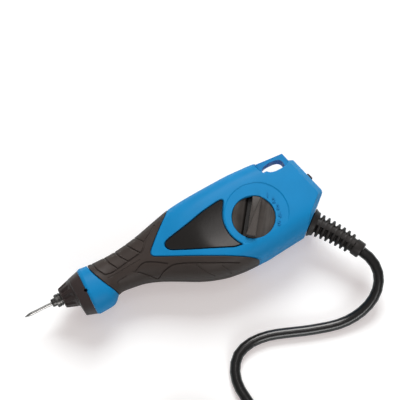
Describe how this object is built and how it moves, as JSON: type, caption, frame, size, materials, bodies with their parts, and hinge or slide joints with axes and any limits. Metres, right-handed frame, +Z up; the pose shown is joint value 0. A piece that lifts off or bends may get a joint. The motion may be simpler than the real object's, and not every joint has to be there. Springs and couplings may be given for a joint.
{
  "type": "electric engraving pen",
  "caption": "Corded electric engraving pen with a rubber grip, a stroke dial, a thumb switch, a hanging slot and a vibrating needle, lying on its flat flank.",
  "frame": {"origin": "middle of the pen's footprint, on the surface that its lower flank lies on; the cord and its boot aren't counted", "axes": "+X along the pen from the needle's tip towards the rear, +Y towards its back edge, +Z up out of the flank that holds the dial"},
  "size_m": [0.2168, 0.2144, 0.0404],
  "materials": {
    "blue_shell": "fine satin",
    "grip_rubber": "matt moulded",
    "plate_gloss": "gloss",
    "black_plastic": "satin",
    "dial_plastic": "satin",
    "boot_rubber": "satin",
    "cord_jacket": "smooth, slightly glossy",
    "steel": "turned",
    "core_iron": "laminated",
    "brass": "turned",
    "copper": "enamelled wire",
    "nylon": "natural",
    "lead_brown": "smooth",
    "lead_blue": "smooth"
  },
  "bodies": {
    "pen": {"housing_upper": "blue_shell", "housing_lower": "blue_shell", "grip_upper": "grip_rubber", "grip_lower": "grip_rubber", "name_plate": "plate_gloss", "nose_cap": "black_plastic", "front_bush": "brass", "rear_guide": "nylon", "return_spring": "steel", "magnet_core": "core_iron", "coil_bobbin": "nylon", "coil_winding": "copper", "core_screw_1": "steel", "core_screw_2": "steel", "dial_seal": "grip_rubber", "switch_body": "black_plastic", "cord_boot": "boot_rubber", "cord_tail": "cord_jacket", "cord_clamp": "nylon", "clamp_screw_1": "steel", "clamp_screw_2": "steel", "lead_live": "lead_brown", "lead_neutral": "lead_blue", "lead_switched": "lead_brown", "housing_screw_1": "steel", "housing_screw_2": "steel", "housing_screw_3": "steel", "housing_screw_4": "steel", "cord_free": "cord_jacket", "cord_coil": "cord_jacket", "coil_tie": "black_plastic", "plug_body": "cord_jacket", "plug_pin_1": "brass", "plug_pin_2": "brass"},
    "dial": {"stroke_dial": "dial_plastic", "dial_spindle": "brass"},
    "stop": {"stop_slide": "steel"},
    "switch_knob": {"switch_slider": "black_plastic"},
    "plunger_set": {"plunger": "steel", "armature": "core_iron", "armature_screw": "steel", "needle_chuck": "steel", "chuck_set_screw": "steel", "needle": "steel"}
  },
  "joints": [
    {"name": "dial_turn", "type": "hinge", "parent": "pen", "child": "dial", "pos_m": [0.0479, -0.0045, 0.019], "axis": [0, 0, 1], "range_deg": [-100, 0]},
    {"name": "stop_travel", "type": "slide", "parent": "pen", "child": "stop", "axis": [1, 0, 0], "range_m": [-0.0009, 0]},
    {"name": "switch_travel", "type": "slide", "parent": "pen", "child": "switch_knob", "axis": [-0.2521, 0.9677, 0], "range_m": [0, 0.0028]},
    {"name": "needle_stroke", "type": "slide", "parent": "pen", "child": "plunger_set", "axis": [1, 0, 0], "range_m": [0, 0.0012], "stiffness_N_per_m": 800, "springref_m": -0.0015, "deforming": ["return_spring"]}
  ],
  "couplings": [
    {"joint": "stop_travel", "follows": "dial_turn", "m_per_rad": 0.000515}
  ]
}
